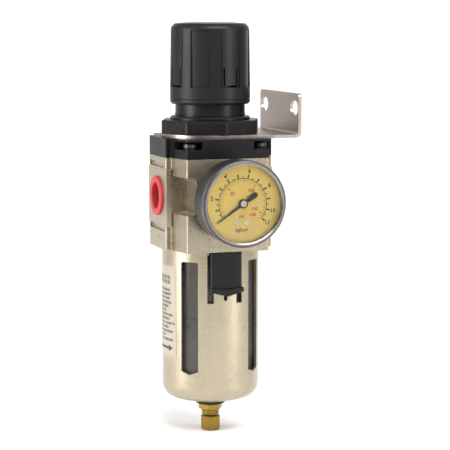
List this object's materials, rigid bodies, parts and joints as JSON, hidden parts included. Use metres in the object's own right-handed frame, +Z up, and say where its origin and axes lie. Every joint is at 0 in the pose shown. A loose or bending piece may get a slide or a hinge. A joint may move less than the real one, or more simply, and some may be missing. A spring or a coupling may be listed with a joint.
{
  "type": "air filter regulator",
  "caption": "Upright compressed-air filter and pressure regulator with push-lock knob, round gauge, wall bracket, guarded bowl and drain cock.",
  "frame": {"origin": "centre of the bracket's two wall slots, on the bracket's wall face", "axes": "+X out of the wall face and along the flow from inlet to outlet, -Y towards the gauge, +Z up along the regulator's axis to the knob"},
  "size_m": [0.0851, 0.1078, 0.2616],
  "materials": {
    "champagne_cast": "champagne enamel on die casting",
    "champagne_sheet": "champagne enamel on drawn shell",
    "black_nylon": "glass-filled nylon, satin",
    "black_knob": "moulded plastic, fine texture",
    "blackened_steel": "black oxide",
    "bracket_steel": "brushed sheet",
    "zinc_steel": "zinc plated",
    "spring_steel": "drawn wire",
    "rubber_black": "nitrile",
    "brass": "turned",
    "drain_brass": "turned and knurled",
    "black_acetal": "moulded",
    "filter_white": "sintered, porous",
    "black_case": "black enamel",
    "bezel_chrome": "polished",
    "lens_clear": "clear acrylic",
    "dial_yellow": "printed dial",
    "dial_screw_steel": "bright",
    "needle_black": "black",
    "red_plastic": "soft moulded",
    "smoky_bowl": "smoky polycarbonate",
    "label_film": "printed film",
    "black_button": "moulded"
  },
  "bodies": {
    "root": {"body_casting": "champagne_cast", "bonnet": "black_nylon", "bonnet_screws": "blackened_steel", "panel_nut": "black_nylon", "mounting_bracket": "bracket_steel", "adjusting_spring": "spring_steel", "diaphragm": "rubber_black", "valve_seat": "brass", "valve_guide": "black_acetal", "valve_spring": "spring_steel", "deflector": "black_acetal", "filter_element": "filter_white", "element_stud": "black_acetal", "element_baffle": "black_acetal", "baffle_nut": "black_acetal", "gauge_stem": "brass", "gauge_case": "black_case", "gauge_bezel": "bezel_chrome", "gauge_lens": "lens_clear", "gauge_spacer": "dial_screw_steel", "gauge_dial": "dial_yellow", "dial_screws": "dial_screw_steel", "gauge_movement": "brass", "bourdon_tube": "brass", "rear_port_plug": "zinc_steel"},
    "adjuster": {"adjusting_screw": "zinc_steel"},
    "knob": {"knob": "black_knob"},
    "spring_seat": {"spring_seat": "zinc_steel"},
    "valve_train": {"diaphragm_plate": "zinc_steel", "valve_poppet": "brass"},
    "gauge_pointer": {"gauge_needle": "needle_black", "needle_cap": "dial_screw_steel"},
    "inlet_plug": {"inlet_plug": "red_plastic"},
    "bowl": {"bowl": "smoky_bowl", "bowl_oring": "rubber_black", "bowl_guard": "champagne_sheet", "label": "label_film", "drain_collar": "black_acetal", "drain_body": "drain_brass", "lock_spring": "spring_steel"},
    "lock_button": {"lock_button": "black_button"},
    "drain_spindle": {"drain_spindle": "drain_brass"},
    "drain_knob": {"drain_knob": "drain_brass"}
  },
  "joints": [
    {"name": "knob_turn", "type": "hinge", "parent": "root", "child": "adjuster", "pos_m": [-0.0485, 0, 0.0348], "axis": [0, 0, -1], "range_deg": [0, 1800]},
    {"name": "knob_pull", "type": "slide", "parent": "adjuster", "child": "knob", "axis": [0, 0, 1], "range_m": [0, 0.004]},
    {"name": "spring_seat_travel", "type": "slide", "parent": "root", "child": "spring_seat", "axis": [0, 0, -1], "range_m": [0, 0.01], "deforming": ["adjusting_spring"]},
    {"name": "valve_lift", "type": "slide", "parent": "root", "child": "valve_train", "axis": [0, 0, -1], "range_m": [0, 0.0025], "stiffness_N_per_m": 400, "springref_m": -0.004, "deforming": ["valve_spring", "diaphragm"]},
    {"name": "gauge_sweep", "type": "hinge", "parent": "root", "child": "gauge_pointer", "pos_m": [-0.0485, -0.063, -0.0552], "axis": [0, 1, 0], "range_deg": [0, 254]},
    {"name": "inlet_plug_pull", "type": "slide", "parent": "root", "child": "inlet_plug", "axis": [-1, 0, 0], "range_m": [0, 0.016]},
    {"name": "bowl_turn", "type": "hinge", "parent": "root", "child": "bowl", "pos_m": [-0.0485, 0, -0.1352], "axis": [0, 0, 1], "range_deg": [0, 45]},
    {"name": "lock_press", "type": "slide", "parent": "bowl", "child": "lock_button", "axis": [0, 0, -1], "range_m": [0, 0.0065], "stiffness_N_per_m": 150, "springref_m": -0.004, "deforming": ["lock_spring"]},
    {"name": "drain_lift", "type": "slide", "parent": "bowl", "child": "drain_spindle", "axis": [0, 0, -1], "range_m": [0, 0.0015]},
    {"name": "drain_turn", "type": "hinge", "parent": "drain_spindle", "child": "drain_knob", "pos_m": [-0.0485, 0, -0.2032], "axis": [0, 0, -1], "range_deg": [0, 540]}
  ],
  "couplings": [
    {"joint": "knob_turn", "follows": "spring_seat_travel", "rad_per_m": 3141.6},
    {"joint": "drain_turn", "follows": "drain_lift", "rad_per_m": 6283.2}
  ]
}
